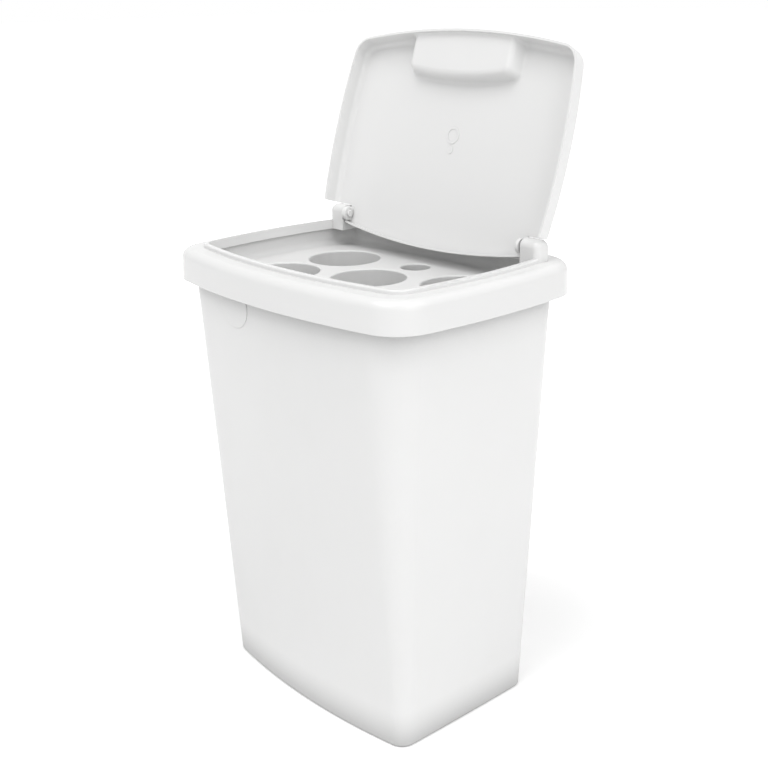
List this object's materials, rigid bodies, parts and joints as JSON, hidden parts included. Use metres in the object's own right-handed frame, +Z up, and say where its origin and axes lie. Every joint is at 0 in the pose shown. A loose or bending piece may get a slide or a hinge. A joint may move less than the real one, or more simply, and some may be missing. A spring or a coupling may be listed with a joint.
{
  "type": "cup collector bin",
  "caption": "Tall tapered bin with a lift-off rim frame, a hinged flip lid and a lift-out holed insert whose tubes stack used cups.",
  "frame": {"origin": "centre of the tub's flat underside, on the ground", "axes": "+Z up the tub, -Y towards the front edge of the shut lid, +X to the right seen from the front; the hinge runs along X at the back"},
  "size_m": [0.3858, 0.3069, 0.7266],
  "materials": {
    "tub": "moulded white polypropylene with a soft gloss",
    "rim": "moulded white polypropylene with a soft gloss",
    "lid": "moulded white polypropylene with a soft gloss",
    "insert": "moulded white polypropylene with a soft gloss",
    "tubes": "extruded white polypropylene",
    "pins": "moulded white plastic"
  },
  "bodies": {
    "tub": {"tub": "tub"},
    "insert": {"insert_tray": "insert", "cup_tube_centre": "tubes", "cup_tube_front_left": "tubes", "cup_tube_front_right": "tubes", "cup_tube_back_left": "tubes", "cup_tube_back_right": "tubes", "stirrer_tube": "tubes", "tube_base": "insert"},
    "rim": {"rim_frame": "rim"},
    "lid": {"lid": "lid", "hinge_pin_left": "pins", "hinge_pin_right": "pins"}
  },
  "joints": [
    {"name": "insert_lift", "type": "slide", "parent": "tub", "child": "insert", "axis": [0, 0, 1], "range_m": [0, 0.5]},
    {"name": "rim_lift", "type": "slide", "parent": "insert", "child": "rim", "axis": [0, 0, 1], "range_m": [0, 0.12]},
    {"name": "lid_hinge", "type": "hinge", "parent": "rim", "child": "lid", "pos_m": [0, 0.0895, 0.515], "axis": [-1, 0, 0], "range_deg": [-107.2, 0]}
  ]
}
